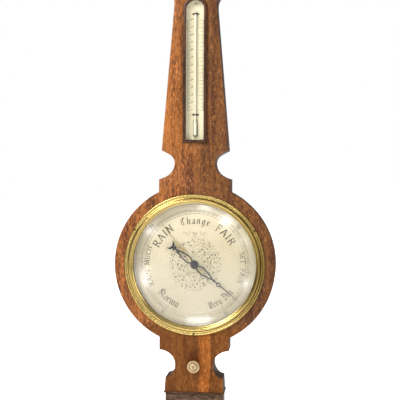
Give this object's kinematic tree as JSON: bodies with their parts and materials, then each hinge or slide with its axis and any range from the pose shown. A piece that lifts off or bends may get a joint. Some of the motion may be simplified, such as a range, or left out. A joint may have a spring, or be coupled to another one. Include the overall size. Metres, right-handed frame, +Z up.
{
  "type": "aneroid barometer",
  "caption": "Wall barometer in a banjo-shaped wooden case, with a large round dial, a set hand turned by a knob, and a thermometer on the trunk.",
  "frame": {"origin": "on the wall plane, straight behind the centre of the dial", "axes": "+Z up, +X to the right of someone facing the dial, the dial looks along -Y"},
  "size_m": [0.266, 0.055, 0.8254],
  "materials": {
    "trunk_wood": "satin",
    "front_wood": "satin french polish",
    "moulding_wood": "satin",
    "plinth_wood": "worn satin",
    "back_wood": "raw",
    "bezel_brass": "polished, lacquered",
    "movement_brass": "satin",
    "set_hand_brass": "satin",
    "screw_brass": "aged",
    "steel": "satin",
    "capsule_metal": "satin nickel",
    "blued_steel": "blued",
    "silvered_dial": "aged silvering",
    "clear_glass": "clear",
    "mercury": "mirror",
    "bone": "polished bone",
    "clip_wire": "dull",
    "cord": "waxed line"
  },
  "bodies": {
    "case": {"case_body": "trunk_wood", "front_veneer": "front_wood", "base_bead": "moulding_wood", "base_plinth": "plinth_wood", "plinth_moulding": "moulding_wood", "cornice": "moulding_wood", "pediment_boards": "front_wood", "pediment_mouldings": "moulding_wood", "scroll_rosettes": "moulding_wood", "finial_block": "plinth_wood", "finial": "movement_brass", "rear_cover": "back_wood", "rear_cover_screws": "screw_brass", "channel_cover": "back_wood", "channel_cover_screws": "screw_brass", "hanger_plate": "movement_brass", "hanger_screws": "screw_brass", "bezel": "bezel_brass", "bezel_screws": "screw_brass", "dial_glass": "clear_glass", "glass_ring": "bezel_brass", "dial_plate": "silvered_dial", "dial_pillars": "movement_brass", "dial_bush": "movement_brass", "drive_cord": "cord", "knob_bush": "movement_brass", "movement_plate": "movement_brass", "plate_screws": "steel", "capsule": "capsule_metal", "capsule_stud": "movement_brass", "spring_bridge": "movement_brass", "bridge_screws": "steel", "pivot_screws": "steel", "rocker_brackets": "movement_brass", "chain": "steel", "arbor_bridge": "movement_brass", "bridge_posts": "movement_brass", "hairspring": "blued_steel", "hairspring_stud": "movement_brass", "thermometer_bead": "moulding_wood", "thermometer_glass": "clear_glass", "thermometer_scale": "silvered_dial", "thermometer_tube": "clear_glass", "mercury": "mercury", "tube_clips": "clip_wire", "scale_screws": "steel"},
    "indicator": {"indicator_hand": "blued_steel", "hand_collet": "blued_steel", "pointer_arbor": "steel"},
    "set_pointer": {"set_hand": "set_hand_brass", "set_hand_pipe": "movement_brass", "set_hand_pulley": "movement_brass"},
    "set_knob": {"knob": "bone", "knob_spindle": "movement_brass", "knob_pulley": "movement_brass"},
    "rocker": {"rocking_bar": "steel"},
    "lever": {"main_lever": "movement_brass", "mainspring": "blued_steel", "lever_link": "steel"},
    "adjuster": {"adjusting_screw": "steel"}
  },
  "joints": [
    {"name": "indicator_turn", "type": "hinge", "parent": "case", "child": "indicator", "pos_m": [0, -0.04, 0], "axis": [0, 1, 0], "range_deg": [-275, 20], "deforming": ["chain"]},
    {"name": "rocker_turn", "type": "hinge", "parent": "case", "child": "rocker", "pos_m": [0, -0.0125, 0.047], "axis": [1, 0, 0], "range_deg": [-29.4, 2.14], "deforming": ["chain"]},
    {"name": "lever_rock", "type": "hinge", "parent": "case", "child": "lever", "pos_m": [0, -0.019, -0.051], "axis": [1, 0, 0], "range_deg": [-0.11, 1.5]},
    {"name": "knob_turn", "type": "hinge", "parent": "case", "child": "set_knob", "pos_m": [0, -0.042, -0.167], "axis": [0, 1, 0], "continuous": true},
    {"name": "set_hand_turn", "type": "hinge", "parent": "case", "child": "set_pointer", "pos_m": [0, -0.037, 0], "axis": [0, 1, 0], "continuous": true},
    {"name": "adjuster_turn", "type": "hinge", "parent": "case", "child": "adjuster", "pos_m": [0, -0.006, -0.051], "axis": [0, 1, 0], "range_deg": [-180, 180]}
  ],
  "couplings": [
    {"joint": "rocker_turn", "follows": "indicator_turn", "ratio": 0.10482},
    {"joint": "lever_rock", "follows": "indicator_turn", "ratio": -0.005333},
    {"joint": "set_hand_turn", "follows": "knob_turn", "ratio": 0.64539}
  ]
}
